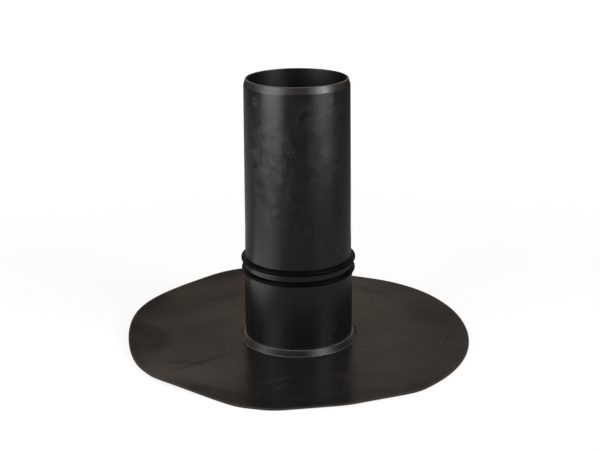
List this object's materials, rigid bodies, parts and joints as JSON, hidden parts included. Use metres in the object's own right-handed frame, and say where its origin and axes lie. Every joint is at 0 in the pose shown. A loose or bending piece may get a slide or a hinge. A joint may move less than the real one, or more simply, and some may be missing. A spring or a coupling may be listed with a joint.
{
  "type": "roof drain",
  "caption": "Roof drain: a tapered pipe with push-in lip seals and a foot collar on a thin round membrane flange, taking rainwater from a flat roof into a downpipe.",
  "frame": {"origin": "on the pipe's axis, in the plane of the flange's flat underside, at the mouth of the pipe", "axes": "+Z along the pipe from the flange to the spigot's tip; -Y towards the viewer of the picture; +X to the viewer's right"},
  "size_m": [0.319, 0.3148, 0.246],
  "materials": {
    "pipe_plastic": "satin black polyethylene with light scuffs",
    "membrane_rubber": "dull black rubber sheet with dust specks",
    "seal_rubber": "matt black rubber"
  },
  "bodies": {
    "root": {"outlet_pipe": "pipe_plastic", "membrane_flange": "membrane_rubber", "upper_seal_ring": "seal_rubber", "lower_seal_ring": "seal_rubber"}
  },
  "joints": []
}
